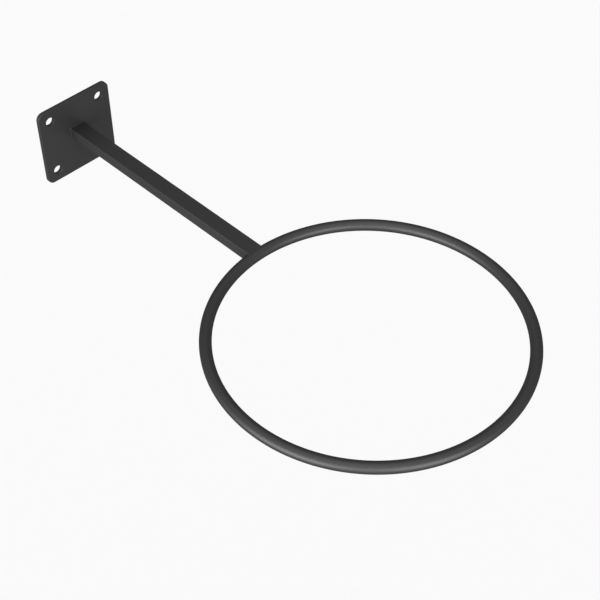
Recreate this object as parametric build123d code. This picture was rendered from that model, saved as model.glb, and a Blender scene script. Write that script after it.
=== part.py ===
from build123d import *
import os
from math import degrees

# Wall-mounted round garment rack: a square wall plate, a rectangular arm and a round hoop, all welded steel.
#
# Frame: millimetres, +Z up. The origin is the centre of the plate's back face, which lies against the wall.
# +Y points into the wall and +X to the right, so the arm stands out along -Y and the hoop lies level at its end.
# Outside sizes are finished sizes, with the powder coat on.

# Wall plate: laser-cut flat steel, with a hole for a wall screw near each corner.
plate_width = 100.0
plate_height = 100.0
plate_thickness = 4.5
plate_corner_radius = 8.5
plate_rim_break = 0.4  # rounding of the front edges, round the rim and the holes, left by deburring
screw_diameter = 10.0
screw_clearance = 0.5  # room all round the screw in its hole
screw_edge_distance = 15.0  # from the plate's edges to a screw's centre

# Hoop: round tube bent to a ring, its two ends butt-welded where the arm meets it.
hoop_radius = 163.5  # to the middle of the tube
hoop_tube_diameter = 12.8  # 12.7 mm tube and its coat
hoop_wall = 1.5
hoop_reach = 471.0  # from the wall to the hoop's centre
seam_width = 1.6  # gap between the tube's ends, which the seam weld fills

# Arm: rectangular tube laid flat. It is as deep as the hoop's tube, so that both run flush above and below.
arm_width = 19.15  # 19.05 mm tube and its coat
arm_wall = 1.5
arm_corner_radius = 0.7
arm_rise = 5.5  # the arm's middle above the plate's middle
arm_lip = 1.8  # how far the arm's top and bottom walls stop short of the middle of the hoop's tube

# Weld beads round the arm's two ends.
weld_leg = 0.6
weld_crown = 0.1  # how far the bead at the hoop is left standing above the flush top and bottom
weld_crown_lap = 0.4  # how far that crown laps onto the arm

# What follows from the sizes above.
arm_height = hoop_tube_diameter
hoop_tube_radius = hoop_tube_diameter / 2
screw_hole_radius = screw_diameter / 2 + screw_clearance
screw_spacing_x = plate_width - 2 * screw_edge_distance
screw_spacing_z = plate_height - 2 * screw_edge_distance
joint_y = hoop_radius - hoop_reach  # the middle of the hoop's tube where the arm meets it
arm_length = -joint_y - arm_lip - plate_thickness
crown_reach = arm_lip + weld_crown_lap  # from the middle of the hoop's tube, both ways
seam_angle = degrees(seam_width / hoop_radius)

arm_root = Plane((0, -plate_thickness, arm_rise), x_dir=(1, 0, 0), z_dir=(0, -1, 0))
joint_section = Plane((0, joint_y, arm_rise), x_dir=(0, 1, 0), z_dir=(1, 0, 0))
hoop_axis = Axis((0, -hoop_reach, arm_rise), (0, 0, 1))


def wall_plate():
    """Square plate with rounded corners, from the wall face at y = 0 forwards, and its four screw holes."""
    outline = RectangleRounded(plate_width, plate_height, plate_corner_radius)
    plate = extrude(Plane.XZ * outline, plate_thickness)
    for place in GridLocations(screw_spacing_x, screw_spacing_z, 2, 2):
        plate -= extrude(Plane.XZ * place * Circle(screw_hole_radius), plate_thickness)
    front = plate.faces().sort_by(Axis.Y)[0]
    return fillet(front.edges(), plate_rim_break)


def arm_outline():
    """The arm's outer section, centred on its own plane."""
    return RectangleRounded(arm_width, arm_height, arm_corner_radius)


def arm_envelope():
    """The arm with its hollow filled and its end still square."""
    return extrude(arm_root * arm_outline(), arm_length)


def hoop_envelope():
    """The whole ring with its hollow filled and no seam."""
    return Pos(0, -hoop_reach, arm_rise) * Torus(hoop_radius, hoop_tube_radius)


def arm_tube():
    """Rectangular tube, with its far end coped to sit on the back of the hoop's tube."""
    hollow = Rectangle(arm_width - 2 * arm_wall, arm_height - 2 * arm_wall)
    section = arm_outline() - hollow
    return extrude(arm_root * section, arm_length) - hoop_envelope()


def ring_of_tube(start_angle, swept_angle):
    """A stretch of the hoop's tube. Angles run round the hoop's axis from the arm's joint, in degrees."""
    section = Circle(hoop_tube_radius) - Circle(hoop_tube_radius - hoop_wall)
    stretch = revolve(joint_section * section, hoop_axis, swept_angle)
    return stretch.rotate(hoop_axis, start_angle)


def hoop_tube():
    """The hoop, open at its seam by the seam weld's width."""
    return ring_of_tube(seam_angle / 2, 360 - seam_angle)


def hoop_seam_weld():
    """The butt weld that closes the hoop behind the arm's end, ground flush."""
    return ring_of_tube(-seam_angle / 2, seam_angle)


def arm_to_plate_weld():
    """Fillet weld all round the arm where it stands on the plate."""
    foot = RectangleRounded(arm_width + 2 * weld_leg, arm_height + 2 * weld_leg, arm_corner_radius + weld_leg)
    tip = Pos(0, 0, weld_leg) * arm_outline()
    return loft([arm_root * foot, arm_root * tip]) - arm_envelope()


def side_fillet():
    """Fillet weld round the back of the hoop's tube in its corner with the arm's right side, as far as the crowns."""
    buried = weld_leg / 2  # depth that lies inside both tubes before they are cut away
    side = arm_width / 2
    corner = Polyline(
        (side - buried, hoop_tube_radius - buried),
        (side + weld_leg, hoop_tube_radius - buried),
        (side + weld_leg, hoop_tube_radius),
        (side, hoop_tube_radius + weld_leg),
        (side - buried, hoop_tube_radius + weld_leg),
        close=True,
    )
    across = Plane((0, joint_y, arm_rise), x_dir=(1, 0, 0), z_dir=(0, -1, 0))
    round_the_tube = revolve(across * make_face(corner), Axis((0, joint_y, arm_rise), (1, 0, 0)), -180)
    between_crowns = Box(2 * arm_width, 2 * hoop_tube_diameter, arm_height)
    return round_the_tube & Pos(0, joint_y, arm_rise) * between_crowns


def crown():
    """Low bead across the flush top, where the end of the arm's top wall meets the hoop's tube."""
    length = arm_width + weld_leg
    depth = weld_crown + arm_wall
    curve_radius = (crown_reach**2 + weld_crown**2) / (2 * weld_crown)
    top = Pos(0, joint_y, arm_rise + hoop_tube_radius + weld_crown)
    bead = top * Pos(0, 0, -curve_radius) * Rot(0, 90, 0) * Cylinder(curve_radius, length)
    slab = top * Pos(0, 0, -depth / 2) * Box(length, 2 * crown_reach, depth)
    return bead & slab


def arm_to_hoop_weld():
    """Weld all round the arm's coped end: a fillet down each side, and a low crown across the top and bottom."""
    arm_middle = Plane((0, 0, arm_rise), x_dir=(1, 0, 0), z_dir=(0, 0, 1))
    bead = side_fillet() + mirror(side_fillet(), Plane.YZ) + crown() + mirror(crown(), arm_middle)
    return bead - arm_envelope() - hoop_envelope()


sub_parts = (wall_plate, arm_tube, hoop_tube, hoop_seam_weld, arm_to_plate_weld, arm_to_hoop_weld)

if __name__ == "__main__":
    os.makedirs("parts", exist_ok=True)
    for make in sub_parts:
        shape = make()
        export_step(shape, f"parts/{make.__name__}.step")
        print(make.__name__, len(shape.solids()), "solid,", round(shape.volume), "mm3", shape.bounding_box())
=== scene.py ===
"""Wall-mounted round garment rack in satin black powder coat.

A square wall plate, a flat-laid rectangular arm and a round hoop, welded together and coated as one.
Metres, +Z up. The wall is at y = 0, and the arm stands out along -Y with the hoop level at its end.
"""

from math import cos, pi, radians, sin, sqrt

import bmesh
import bpy
from bpy.props import FloatProperty, FloatVectorProperty, PointerProperty
from bpy.types import Operator, Panel, PropertyGroup
from mathutils import Matrix, Vector


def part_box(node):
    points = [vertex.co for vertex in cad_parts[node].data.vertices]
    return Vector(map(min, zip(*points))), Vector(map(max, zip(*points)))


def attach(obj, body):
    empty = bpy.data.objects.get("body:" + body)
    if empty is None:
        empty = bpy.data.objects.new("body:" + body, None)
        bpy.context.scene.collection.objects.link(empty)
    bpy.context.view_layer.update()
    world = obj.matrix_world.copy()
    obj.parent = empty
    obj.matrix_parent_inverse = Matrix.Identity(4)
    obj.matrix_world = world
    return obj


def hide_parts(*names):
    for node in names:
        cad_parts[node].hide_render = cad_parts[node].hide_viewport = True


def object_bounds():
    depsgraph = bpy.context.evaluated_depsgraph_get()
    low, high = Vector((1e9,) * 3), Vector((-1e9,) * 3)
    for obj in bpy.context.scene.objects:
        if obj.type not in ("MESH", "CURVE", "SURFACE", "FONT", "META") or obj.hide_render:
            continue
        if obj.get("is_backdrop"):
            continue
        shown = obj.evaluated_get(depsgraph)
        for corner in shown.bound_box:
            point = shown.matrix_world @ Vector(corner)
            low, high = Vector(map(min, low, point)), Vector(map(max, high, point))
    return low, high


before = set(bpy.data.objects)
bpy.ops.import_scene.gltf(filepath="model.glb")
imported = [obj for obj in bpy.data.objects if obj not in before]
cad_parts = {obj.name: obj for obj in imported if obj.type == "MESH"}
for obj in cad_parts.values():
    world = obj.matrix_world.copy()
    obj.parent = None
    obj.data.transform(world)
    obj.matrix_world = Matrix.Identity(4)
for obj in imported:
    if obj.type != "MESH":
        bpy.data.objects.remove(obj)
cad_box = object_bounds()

bl_info = {
    "name": "Round Garment Rack",
    "version": (1, 0, 0),
    "blender": (4, 5, 0),
    "location": "3D View > Sidebar > Garment Rack",
    "description": "Builds a wall-mounted garment rack: a plate, an arm and a hoop, welded and powder-coated",
    "category": "Object",
}

MM = 0.001
BODY = "root"
COLLECTION = "Garment rack"

# Places that come from the CAD frame.
plate_low, plate_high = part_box("wall_plate")
arm_low, arm_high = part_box("arm_tube")
PLATE_FRONT = plate_low.y
ARM_MIDDLE = (arm_low.z + arm_high.z) / 2
TUBE_RADIUS = (arm_high.z - arm_low.z) / 2

# Fineness of the meshes.
CORNER_STEPS = 8
RIM_STEPS = 4
SIDE_CELLS = 13
HOLE_STEPS = 64
TUBE_STEPS = 64
HOOP_STEPS = 288
SEAM_STEPS = 12
BEAD_STEPS = 12
BEAD_CORNER_STEPS = 6
BEAD_SPACING = 0.2 * MM
SMOOTH_ANGLE = radians(40)
FIT = 0.5 * MM  # how far a piece may reach past its CAD node

# How the beads are shaped.
SEAM_LAP = 1.5  # width of the seam weld, as a share of the seam
FILLET_SHARE = 0.75  # half width of a fillet across its corner, as a share of its leg
GROUND_REACH = 1.7 * MM  # half width of the bead where it is ground, which just fills the groove there
GROUND_DEPTH = 0.3 * MM  # half thickness of that part, most of which lies under the surface
GROUND_SHIFT = 1.1 * MM  # how far that part lies from the middle of the hoop's tube, towards the wall
FILLET_SINK = 0.25  # how far a fillet's middle lies under its slope, as a share of its bulge
WELD_PEEL_SHARE = 1.5  # depth of the orange peel on the beads, as a share of the coat's

# Changes over the coat. Each noise has a size, a detail and a seed that moves its pattern.
DRIFT_SIZE = 45 * MM
DRIFT_DETAIL = 3.0
DRIFT_SEED = 1.7
PEEL_DETAIL = 1.0
PEEL_SEED = 0.3
GRAIN_DETAIL = 2.0
GRAIN_SEED = 0.9
GRAIN_SHARE = 0.3  # size of the grain, as a share of the peel's
PEEL_HEIGHT = 0.8  # the peel's part of the relief
GRAIN_HEIGHT = 0.2  # the grain's part of it
TONE_CHANGE = 0.08
GLOSS_CHANGE = 0.04

# The studio.
VIEW_MIDDLE = (-0.0144, -0.3866, 0.0055)
SENSOR_WIDTH = 36  # millimetres
FLOOR_HALF = 12.0
SOFT_BOXES = (
    # name, azimuth, elevation, distance, width, height, brightness
    ("Left soft box", -85, 4, 3.0, 3.4, 1.9, 20.0),
    ("Front soft box", -14, 7, 3.0, 2.1, 2.2, 17.3),
    ("Overhead soft box", -64, 74, 3.0, 3.1, 4.8, 2.9),
)

# A section drawn flat and stood up to face the front: its own Y becomes Z, and its own Z becomes -Y.
FACING_FRONT = Matrix.Rotation(radians(90), 4, "X")


# ---------------------------------------------------------------- settings


class PlateSettings(PropertyGroup):
    """Sizes of the wall plate."""

    corner_radius: FloatProperty(
        name="Corner Radius", description="Rounding of the plate's outline",
        default=8.5 * MM, unit="LENGTH",
    )
    hole_radius: FloatProperty(
        name="Hole Radius", description="Radius of the four screw holes", default=5.5 * MM, unit="LENGTH"
    )
    hole_inset: FloatProperty(
        name="Hole Inset", description="From the plate's edges to a hole's middle",
        default=15 * MM, unit="LENGTH",
    )
    front_rounding: FloatProperty(
        name="Front Rounding", description="Rounding of the front edges", default=0.4 * MM, unit="LENGTH"
    )
    back_rounding: FloatProperty(
        name="Back Rounding", description="Rounding that the coat gives the back edges",
        default=0.12 * MM, unit="LENGTH",
    )


class ArmSettings(PropertyGroup):
    """Sizes of the arm."""

    wall: FloatProperty(
        name="Wall", description="Thickness of the tube's wall", default=1.5 * MM, unit="LENGTH"
    )
    corner_radius: FloatProperty(
        name="Corner Radius", description="Rounding of the tube's outer corners",
        default=0.7 * MM, unit="LENGTH",
    )
    hollow_radius: FloatProperty(
        name="Hollow Radius", description="Rounding of the hollow's corners", default=0.3 * MM, unit="LENGTH"
    )


class HoopSettings(PropertyGroup):
    """Sizes of the hoop."""

    radius: FloatProperty(
        name="Radius", description="From the hoop's axis to the middle of its tube",
        default=163.5 * MM, unit="LENGTH",
    )
    reach: FloatProperty(
        name="Reach", description="From the wall to the hoop's axis", default=471 * MM, unit="LENGTH"
    )
    wall: FloatProperty(
        name="Wall", description="Thickness of the tube's wall", default=1.5 * MM, unit="LENGTH"
    )
    seam: FloatProperty(
        name="Seam", description="Gap between the tube's ends, which the seam weld fills",
        default=1.6 * MM, unit="LENGTH",
    )


class WeldSettings(PropertyGroup):
    """Sizes of the weld beads."""

    leg: FloatProperty(
        name="Leg", description="How far a fillet reaches along each face", default=0.5 * MM, unit="LENGTH"
    )
    bulge: FloatProperty(
        name="Bulge", description="Half thickness of a fillet's bead", default=0.12 * MM, unit="LENGTH"
    )
    crown: FloatProperty(
        name="Crown", description="What is left standing of the bead above and below the arm",
        default=0.03 * MM, unit="LENGTH",
    )
    ripple: FloatProperty(
        name="Ripple", description="Length of one ripple along a bead", default=0.8 * MM, unit="LENGTH"
    )
    ripple_depth: FloatProperty(
        name="Ripple Depth", description="Height of a ripple, as a share of the bead",
        default=0.06, subtype="FACTOR",
    )
    witness: FloatProperty(
        name="Witness", description="How far the ground seam weld still stands proud",
        default=0.02 * MM, unit="LENGTH",
    )


class CoatSettings(PropertyGroup):
    """Look of the powder coat."""

    color: FloatVectorProperty(
        name="Color", description="Color of the coat",
        default=(0.0055, 0.0055, 0.0057), subtype="COLOR", size=3,
    )
    roughness: FloatProperty(
        name="Roughness", description="Satin roughness of the coat", default=0.48, subtype="FACTOR"
    )
    shine: FloatProperty(
        name="Shine", description="Share of the light that the coat's satin surface throws back",
        default=0.017, subtype="FACTOR",
    )
    peel_size: FloatProperty(
        name="Peel Size", description="Width of one dimple of the orange peel",
        default=1.6 * MM, unit="LENGTH",
    )
    peel_depth: FloatProperty(
        name="Peel Depth", description="Depth of the orange peel", default=0.05 * MM, unit="LENGTH"
    )


class StageSettings(PropertyGroup):
    """The camera, the floor and the lights."""

    azimuth: FloatProperty(
        name="Azimuth", description="Camera's turn round the rack; 0 looks at the wall",
        default=radians(-44.97), subtype="ANGLE",
    )
    elevation: FloatProperty(
        name="Elevation", description="Camera's height angle", default=radians(45.32), subtype="ANGLE"
    )
    distance: FloatProperty(
        name="Distance", description="From the camera to the middle of the view",
        default=1.3316, unit="LENGTH",
    )
    lens: FloatProperty(
        name="Lens", description="Focal length in millimetres, on a 36 mm sensor", default=78.5
    )
    floor_drop: FloatProperty(
        name="Floor Drop", description="From the rack's lowest point down to the floor",
        default=1.0, unit="LENGTH",
    )
    floor_color: FloatVectorProperty(
        name="Floor Color", description="Color of the floor",
        default=(0.96, 0.96, 0.96), subtype="COLOR", size=3,
    )
    air: FloatProperty(name="Air", description="Strength of the even light from all round", default=1.0)


class RackSettings(PropertyGroup):
    """All the settings of the rack."""

    plate: PointerProperty(type=PlateSettings)
    arm: PointerProperty(type=ArmSettings)
    hoop: PointerProperty(type=HoopSettings)
    weld: PointerProperty(type=WeldSettings)
    coat: PointerProperty(type=CoatSettings)
    stage: PointerProperty(type=StageSettings)


# ---------------------------------------------------------------- mesh work


def edges_of(verts):
    """The edges that join these vertices to each other."""
    members = set(verts)
    return list(dict.fromkeys(e for v in verts for e in v.link_edges if e.other_vert(v) in members))


def verts_of(loop):
    """The vertices of a loop of edges."""
    return list(dict.fromkeys(v for e in loop for v in e.verts))


def circle_loop(bm, radius, steps, place):
    """A ring of edges in the XY plane of place."""
    verts = bmesh.ops.create_circle(bm, cap_ends=False, segments=steps, radius=radius, matrix=place)["verts"]
    return edges_of(verts)


def rounded_loop(bm, width, height, radius, place, cells=1):
    """A rectangle of edges with rounded corners, in the XY plane of place, with each side cut into cells."""
    size = Matrix.Diagonal((width, height, 1, 1))
    grid = bmesh.ops.create_grid(bm, x_segments=cells, y_segments=cells, size=0.5, matrix=size)
    corners = [v for v in grid["verts"] if len(v.link_edges) == 2]
    rounded = bmesh.ops.bevel(
        bm, geom=corners, offset=radius, offset_type="OFFSET", segments=CORNER_STEPS, profile=0.5,
        affect="VERTICES", material=-1,
    )
    verts = [v for v in grid["verts"] if v.is_valid] + rounded["verts"]
    faces = list(dict.fromkeys(f for v in verts for f in v.link_faces))
    rim = list(dict.fromkeys(v for v in verts if v.is_boundary))
    inner = [v for v in verts if not v.is_boundary]
    bmesh.ops.delete(bm, geom=faces, context="FACES_ONLY")
    bmesh.ops.delete(bm, geom=inner, context="VERTS")
    bmesh.ops.transform(bm, matrix=place, verts=rim)
    return edges_of(rim)


def skin(bm, loops, closed=False):
    """Faces from each loop to the next, and from the last to the first if closed."""
    followers = loops[1:] + loops[:1] if closed else loops[1:]
    for loop, follower in zip(loops, followers):
        bmesh.ops.bridge_loops(bm, edges=loop + follower)


def shift(x=0.0, y=0.0, z=0.0):
    """A move by this much along each axis."""
    return Matrix.Translation((x, y, z))


def rack_collection():
    """The collection that holds the rack's pieces, made the first time that it is asked for."""
    rack = bpy.data.collections.get(COLLECTION)
    if rack is None:
        rack = bpy.data.collections.new(COLLECTION)
        bpy.context.scene.collection.children.link(rack)
    return rack


def finish_piece(bm, name, node, material):
    """Turns a closed mesh into a piece of the rack, which stands for a CAD node and stays within its box."""
    bmesh.ops.recalc_face_normals(bm, faces=bm.faces)
    for face in bm.faces:
        face.smooth = True
    mesh = bpy.data.meshes.new(name)
    bm.to_mesh(mesh)
    bm.free()
    mesh.set_sharp_from_angle(angle=SMOOTH_ANGLE)
    mesh.materials.append(material)
    piece = bpy.data.objects.new(name, mesh)
    rack_collection().objects.link(piece)
    normals = piece.modifiers.new("Flat faces stay flat", "WEIGHTED_NORMAL")
    normals.keep_sharp = True
    for side, corner, cad_corner in zip((-1, 1), (min, max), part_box(node)):
        for axis in range(3):
            place = corner(v.co[axis] for v in mesh.vertices)
            if side * (place - cad_corner[axis]) > FIT:
                edge = cad_corner[axis]
                raise ValueError(f"{name} reaches {place:.5f} on axis {axis}, past {node} at {edge:.5f}")
    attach(piece, BODY)
    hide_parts(node)
    return piece


# ---------------------------------------------------------------- places on the rack


def back_of_tube(hoop, x, rise):
    """Y of the back of the hoop's tube at this x, this high above the tube's middle."""
    outwards = sqrt(max(TUBE_RADIUS**2 - rise**2, 0))
    return sqrt((hoop.radius + outwards) ** 2 - x**2) - hoop.reach


def across_tube(hoop, angle):
    """A plane across the hoop's tube, this far round from the arm: its X points outwards and its Y up."""
    stood_up = Matrix(((0, 0, 1), (1, 0, 0), (0, 1, 0))).to_4x4()
    turned = shift(y=-hoop.reach, z=ARM_MIDDLE) @ Matrix.Rotation(angle, 4, "Z")
    return turned @ shift(y=hoop.radius) @ stood_up


def round_the_arm(corner_radius):
    """Points round the arm's section, with their outward directions and their distance along it."""
    flat_x = arm_high.x - corner_radius
    flat_z = TUBE_RADIUS - corner_radius
    arc = corner_radius * pi / 2
    travelled = 0.0
    for quarter in range(4):
        center_x = flat_x if quarter in (0, 3) else -flat_x
        center_z = flat_z if quarter in (0, 1) else -flat_z
        center = Vector((center_x, 0, center_z))
        for step in range(BEAD_CORNER_STEPS):
            angle = (quarter + step / BEAD_CORNER_STEPS) * pi / 2
            out = Vector((cos(angle), 0, sin(angle)))
            yield center + corner_radius * out, out, travelled
            travelled += arc / BEAD_CORNER_STEPS
        angle = (quarter + 1) * pi / 2
        out = Vector((cos(angle), 0, sin(angle)))
        along = Vector((-sin(angle), 0, cos(angle)))
        run = 2 * (flat_x if quarter % 2 == 0 else flat_z)
        steps = round(run / BEAD_SPACING)
        for step in range(steps):
            yield center + corner_radius * out + along * (run * step / steps), out, travelled
            travelled += run / steps


def section_place(center, across, up):
    """A plane with its X along across, its Y along up, and this middle."""
    place = Matrix((across, up, across.cross(up))).transposed().to_4x4()
    place.translation = center
    return place


# ---------------------------------------------------------------- materials


class Wire:
    """A value that runs through a node tree. Arithmetic on wires adds Math nodes."""

    def __init__(self, tree, socket):
        self.tree = tree
        self.socket = socket

    def calculate(self, operation, first, second):
        return add_node(self.tree, "ShaderNodeMath", {"operation": operation}, {0: first, 1: second})

    def __add__(self, other):
        return self.calculate("ADD", self, other)

    def __sub__(self, other):
        return self.calculate("SUBTRACT", self, other)

    def __mul__(self, other):
        return self.calculate("MULTIPLY", self, other)

    def __rsub__(self, other):
        return self.calculate("SUBTRACT", other, self)

    __radd__ = __add__
    __rmul__ = __mul__


def add_node(tree, kind, settings=None, sockets=None, output=0):
    """Adds a node, sets it up, sets or links its sockets, and returns the wire from its output, if any."""
    node = tree.nodes.new(kind)
    for name, value in (settings or {}).items():
        setattr(node, name, value)
    for name, value in (sockets or {}).items():
        if isinstance(value, Wire):
            tree.links.new(value.socket, node.inputs[name])
        else:
            node.inputs[name].default_value = value
    return Wire(tree, node.outputs[output]) if len(node.outputs) else None


def new_material(name):
    """An empty material and its node tree."""
    material = bpy.data.materials.new(name)
    material.use_nodes = True
    material.node_tree.nodes.clear()
    return material, material.node_tree


def powder_coat(name, coat, peel_depth):
    """Satin powder coat: fine orange peel, finer grain, and slow changes in color and gloss.

    The shine is one share at every angle, so a light box seen edge-on doesn't turn a flat face white.
    """
    material, tree = new_material(name)
    coords = add_node(tree, "ShaderNodeTexCoord", output="Object")

    def noise(size, detail, seed):
        move = (seed, -seed, 2 * seed)
        place = add_node(tree, "ShaderNodeMapping", None, {"Vector": coords, "Location": move})
        sockets = {"Vector": place, "Scale": 1 / size, "Detail": detail}
        return add_node(tree, "ShaderNodeTexNoise", None, sockets)

    drift = noise(DRIFT_SIZE, DRIFT_DETAIL, DRIFT_SEED)
    peel = noise(coat.peel_size, PEEL_DETAIL, PEEL_SEED)
    grain = noise(coat.peel_size * GRAIN_SHARE, GRAIN_DETAIL, GRAIN_SEED)
    dark = [c * (1 - TONE_CHANGE) for c in coat.color] + [1]
    light = [c * (1 + TONE_CHANGE) for c in coat.color] + [1]
    tone = add_node(tree, "ShaderNodeMix", {"data_type": "RGBA"}, {0: drift, 6: dark, 7: light}, output=2)
    gloss = coat.roughness + (drift - 0.5) * GLOSS_CHANGE + (grain - 0.5) * GLOSS_CHANGE
    relief = peel * PEEL_HEIGHT + grain * GRAIN_HEIGHT
    bump = add_node(
        tree, "ShaderNodeBump", None, {"Distance": peel_depth, "Height": relief, "Strength": 1.0}
    )
    pigment = add_node(
        tree, "ShaderNodeBsdfPrincipled", None,
        {"Base Color": tone, "Roughness": gloss, "Specular IOR Level": 0.0, "Normal": bump},
    )
    satin = add_node(
        tree, "ShaderNodeBsdfAnisotropic", None,
        {"Color": (1, 1, 1, 1), "Roughness": gloss, "Normal": bump},
    )
    coated = add_node(tree, "ShaderNodeMixShader", None, {0: coat.shine, 1: pigment, 2: satin})
    add_node(tree, "ShaderNodeOutputMaterial", None, {"Surface": coated})
    return material


def coat_for(name, depth_share=1.0):
    """The coat's material of that name, made the first time that it is asked for."""
    coat = bpy.context.scene.garment_rack.coat
    return bpy.data.materials.get(name) or powder_coat(name, coat, coat.peel_depth * depth_share)


# ---------------------------------------------------------------- operators


class MakePlate(Operator):
    """Make the wall plate: rounded outline, four screw holes and softened edges"""

    bl_idname = "garment_rack.make_plate"
    bl_label = "Make Plate"

    def execute(self, context):
        plate = context.scene.garment_rack.plate
        thickness = -PLATE_FRONT
        width = plate_high.x - plate_low.x
        height = plate_high.z - plate_low.z
        bm = bmesh.new()

        def wall(loop_at):
            """The side wall of the outline or of a hole, from the back edge round to the front edge."""
            loops = []
            for step in range(RIM_STEPS + 1):
                angle = step / RIM_STEPS * pi / 2
                inset = plate.back_rounding * (1 - sin(angle))
                loops.append(loop_at(inset, plate.back_rounding * (1 - cos(angle))))
            for step in range(RIM_STEPS + 1):
                angle = step / RIM_STEPS * pi / 2
                rise = thickness - plate.front_rounding * (1 - sin(angle))
                loops.append(loop_at(plate.front_rounding * (1 - cos(angle)), rise))
            skin(bm, loops)
            return loops[0], loops[-1]

        def outline_at(inset, rise):
            place = FACING_FRONT @ shift(z=rise)
            radius = plate.corner_radius - inset
            return rounded_loop(bm, width - 2 * inset, height - 2 * inset, radius, place)

        def hole_at(x, z):
            def loop_at(inset, rise):
                place = FACING_FRONT @ shift(x, z, rise)
                return circle_loop(bm, plate.hole_radius + inset, HOLE_STEPS, place)

            return loop_at

        across = width / 2 - plate.hole_inset
        up = height / 2 - plate.hole_inset
        walls = [wall(outline_at)] + [wall(hole_at(x, z)) for x in (-across, across) for z in (-up, up)]
        for rims in zip(*walls):
            rim_edges = [e for rim in rims for e in rim]
            bmesh.ops.triangle_fill(bm, use_beauty=True, use_dissolve=False, edges=rim_edges)
        finish_piece(bm, "plate", "wall_plate", coat_for("Powder coat"))
        return {"FINISHED"}


class MakeArm(Operator):
    """Make the arm: hollow rectangular tube, coped to the back of the hoop's tube"""

    bl_idname = "garment_rack.make_arm"
    bl_label = "Make Arm"

    def execute(self, context):
        rack = context.scene.garment_rack
        arm = rack.arm
        bm = bmesh.new()

        def section(inset, radius, y):
            place = shift(y=y, z=ARM_MIDDLE) @ FACING_FRONT
            width = 2 * (arm_high.x - inset)
            return rounded_loop(bm, width, 2 * (TUBE_RADIUS - inset), radius, place, cells=SIDE_CELLS)

        def cope(loop):
            for vert in verts_of(loop):
                vert.co.y = max(back_of_tube(rack.hoop, vert.co.x, vert.co.z - ARM_MIDDLE), arm_low.y)
            return loop

        loops = [
            section(0, arm.corner_radius, PLATE_FRONT),
            cope(section(0, arm.corner_radius, arm_low.y)),
            cope(section(arm.wall, arm.hollow_radius, arm_low.y)),
            section(arm.wall, arm.hollow_radius, PLATE_FRONT),
        ]
        skin(bm, loops, closed=True)
        finish_piece(bm, "arm", "arm_tube", coat_for("Powder coat"))
        return {"FINISHED"}


class MakeHoop(Operator):
    """Make the hoop: round tube spun to a ring, open at its seam"""

    bl_idname = "garment_rack.make_hoop"
    bl_label = "Make Hoop"

    def execute(self, context):
        hoop = context.scene.garment_rack.hoop
        seam_angle = hoop.seam / hoop.radius
        bm = bmesh.new()

        start = across_tube(hoop, seam_angle / 2)
        radii = (TUBE_RADIUS, TUBE_RADIUS - hoop.wall)
        skin(bm, [circle_loop(bm, radius, TUBE_STEPS, start) for radius in radii])
        bmesh.ops.spin(
            bm, geom=bm.verts[:] + bm.edges[:] + bm.faces[:], cent=(0, -hoop.reach, ARM_MIDDLE),
            axis=(0, 0, 1), angle=2 * pi - seam_angle, steps=HOOP_STEPS,
            use_merge=False, use_duplicate=False,
        )
        finish_piece(bm, "hoop", "hoop_tube", coat_for("Powder coat"))
        return {"FINISHED"}


class MakeSeamWeld(Operator):
    """Make the butt weld that closes the hoop, ground nearly flush"""

    bl_idname = "garment_rack.make_seam_weld"
    bl_label = "Make Seam Weld"

    def execute(self, context):
        rack = context.scene.garment_rack
        hoop = rack.hoop
        half_angle = SEAM_LAP * hoop.seam / 2 / hoop.radius
        root_radius = TUBE_RADIUS - hoop.wall - rack.weld.bulge
        bm = bmesh.new()
        loops = [circle_loop(bm, root_radius, TUBE_STEPS, across_tube(hoop, -half_angle))]
        for step in range(SEAM_STEPS + 1):
            share = 2 * step / SEAM_STEPS - 1
            proud = rack.weld.witness * (2 * cos(share * pi / 2) - 1)
            place = across_tube(hoop, share * half_angle)
            loops.append(circle_loop(bm, TUBE_RADIUS + proud, TUBE_STEPS, place))
        loops.append(circle_loop(bm, root_radius, TUBE_STEPS, across_tube(hoop, half_angle)))
        skin(bm, loops, closed=True)
        finish_piece(bm, "seam_weld", "hoop_seam_weld", coat_for("Powder coat"))
        return {"FINISHED"}


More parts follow.
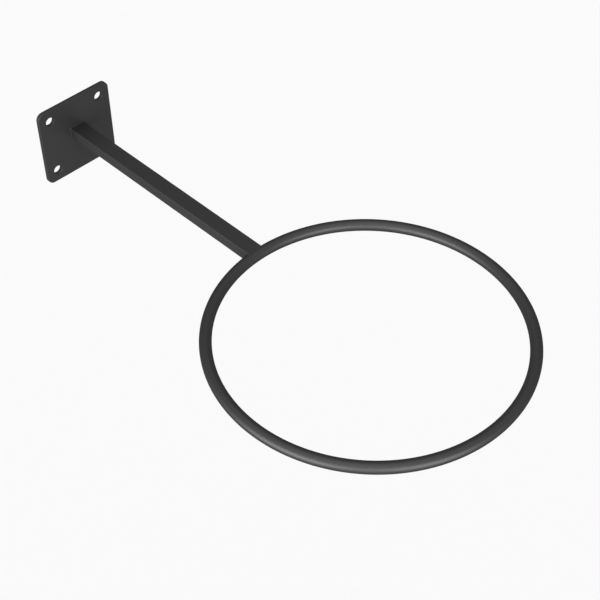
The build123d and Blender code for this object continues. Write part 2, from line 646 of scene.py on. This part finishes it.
class MakeArmWelds(Operator):
    """Make the rippled weld beads round the arm's two ends"""

    bl_idname = "garment_rack.make_arm_welds"
    bl_label = "Make Arm Welds"

    def execute(self, context):
        rack = context.scene.garment_rack
        weld = rack.weld

        def bead_loop(bm, point, out, along, ground, travelled):
            """The bead's section: a lens across the corner, turned flat and widened where it is ground."""
            lean = (1 - ground) * pi / 4
            across = along * cos(lean) - out * sin(lean)
            up = out * cos(lean) + along * sin(lean)
            ripple = 1 + weld.ripple_depth * (1 - ground) * sin(2 * pi * travelled / weld.ripple)
            fillet_center = (out + along) * (weld.leg / 2) - up * (weld.bulge * FILLET_SINK)
            ground_center = along * GROUND_SHIFT - out * (GROUND_DEPTH - weld.crown)
            center = point + fillet_center.lerp(ground_center, ground)
            half_width = (1 - ground) * FILLET_SHARE * weld.leg + ground * GROUND_REACH
            half_depth = (1 - ground) * weld.bulge + ground * GROUND_DEPTH
            size = Matrix.Diagonal((half_width * ripple, half_depth * ripple, 1, 1))
            return circle_loop(bm, 1, BEAD_STEPS, section_place(center, across, up) @ size)

        outline = list(round_the_arm(rack.arm.corner_radius))
        foot = Vector((0, PLATE_FRONT, ARM_MIDDLE))
        outwards = Vector((0, -1, 0))
        bm = bmesh.new()
        loops = []
        for point, out, travelled in outline:
            loops.append(bead_loop(bm, foot + point, out, outwards, 0, travelled))
        skin(bm, loops, closed=True)
        coat = coat_for("Powder coat on welds", WELD_PEEL_SHARE)
        finish_piece(bm, "plate_weld", "arm_to_plate_weld", coat)

        bm = bmesh.new()
        loops = []
        for point, out, travelled in outline:
            on_tube = Vector((point.x, back_of_tube(rack.hoop, point.x, point.z), point.z + ARM_MIDDLE))
            loops.append(bead_loop(bm, on_tube, out, -outwards, abs(out.z), travelled))
        skin(bm, loops, closed=True)
        finish_piece(bm, "hoop_weld", "arm_to_hoop_weld", coat)
        return {"FINISHED"}


class MakeStage(Operator):
    """Make the camera, the pale floor and the soft studio light"""

    bl_idname = "garment_rack.make_stage"
    bl_label = "Make Stage"

    def execute(self, context):
        scene = context.scene
        stage = scene.garment_rack.stage
        target = Vector(VIEW_MIDDLE)

        def direction(azimuth, elevation):
            return Vector((sin(azimuth) * cos(elevation), -cos(azimuth) * cos(elevation), sin(elevation)))

        back = direction(stage.azimuth, stage.elevation)
        camera = bpy.data.objects.new("Camera", bpy.data.cameras.new("Camera"))
        camera.data.lens = stage.lens
        camera.data.sensor_width = SENSOR_WIDTH
        camera.location = target + back * stage.distance
        camera.rotation_euler = back.to_track_quat("Z", "Y").to_euler()
        scene.collection.objects.link(camera)
        scene.camera = camera

        bm = bmesh.new()
        level = shift(z=plate_low.z - stage.floor_drop)
        bmesh.ops.create_grid(bm, x_segments=1, y_segments=1, size=FLOOR_HALF, matrix=level)
        mesh = bpy.data.meshes.new("floor")
        bm.to_mesh(mesh)
        bm.free()
        material, tree = new_material("Matte floor")
        shader = add_node(
            tree, "ShaderNodeBsdfPrincipled", None,
            {"Base Color": list(stage.floor_color) + [1], "Roughness": 1.0, "Specular IOR Level": 0.0},
        )
        add_node(tree, "ShaderNodeOutputMaterial", None, {"Surface": shader})
        mesh.materials.append(material)
        floor = bpy.data.objects.new("floor", mesh)
        scene.collection.objects.link(floor)
        floor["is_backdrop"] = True

        world = bpy.data.worlds.new("Studio air")
        world.use_nodes = True
        world.node_tree.nodes.clear()
        air = add_node(
            world.node_tree, "ShaderNodeBackground", None,
            {"Color": (1, 1, 1, 1), "Strength": stage.air},
        )
        add_node(world.node_tree, "ShaderNodeOutputWorld", None, {"Surface": air})
        scene.world = world
        scene.view_settings.view_transform = "Standard"

        for name, azimuth, elevation, distance, width, height, brightness in SOFT_BOXES:
            lamp = bpy.data.lights.new(name, "AREA")
            lamp.shape = "RECTANGLE"
            lamp.size = width
            lamp.size_y = height
            lamp.energy = brightness * width * height * pi
            box = bpy.data.objects.new(name, lamp)
            away = direction(radians(azimuth), radians(elevation))
            box.location = target + away * distance
            box.rotation_euler = away.to_track_quat("Z", "Y").to_euler()
            box.light_linking.receiver_collection = rack_collection()
            scene.collection.objects.link(box)
        return {"FINISHED"}


class GarmentRackPanel(Panel):
    """The rack's settings and operators"""

    bl_idname = "VIEW3D_PT_garment_rack"
    bl_label = "Garment Rack"
    bl_space_type = "VIEW_3D"
    bl_region_type = "UI"
    bl_category = "Garment Rack"

    def draw(self, context):
        rack = context.scene.garment_rack
        for group in (rack.plate, rack.arm, rack.hoop, rack.weld, rack.coat, rack.stage):
            box = self.layout.box()
            for name in group.bl_rna.properties.keys():
                if name not in ("rna_type", "name"):
                    box.prop(group, name)
        for operator in OPERATORS:
            self.layout.operator(operator.bl_idname)


SETTINGS = (
    PlateSettings, ArmSettings, HoopSettings, WeldSettings, CoatSettings, StageSettings, RackSettings,
)
OPERATORS = (MakeStage, MakePlate, MakeArm, MakeHoop, MakeSeamWeld, MakeArmWelds)
CLASSES = SETTINGS + OPERATORS + (GarmentRackPanel,)


def register():
    for kind in CLASSES:
        bpy.utils.register_class(kind)
    bpy.types.Scene.garment_rack = PointerProperty(type=RackSettings)


def unregister():
    del bpy.types.Scene.garment_rack
    for kind in reversed(CLASSES):
        bpy.utils.unregister_class(kind)


def main():
    register()
    bpy.ops.garment_rack.make_stage()
    bpy.ops.garment_rack.make_plate()
    bpy.ops.garment_rack.make_arm()
    bpy.ops.garment_rack.make_hoop()
    bpy.ops.garment_rack.make_seam_weld()
    bpy.ops.garment_rack.make_arm_welds()
    boxes = {"cad": cad_box, "visual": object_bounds()}
    {name: [list(corner) for corner in box] for name, box in boxes.items()}


if __name__ == "__main__":
    main()
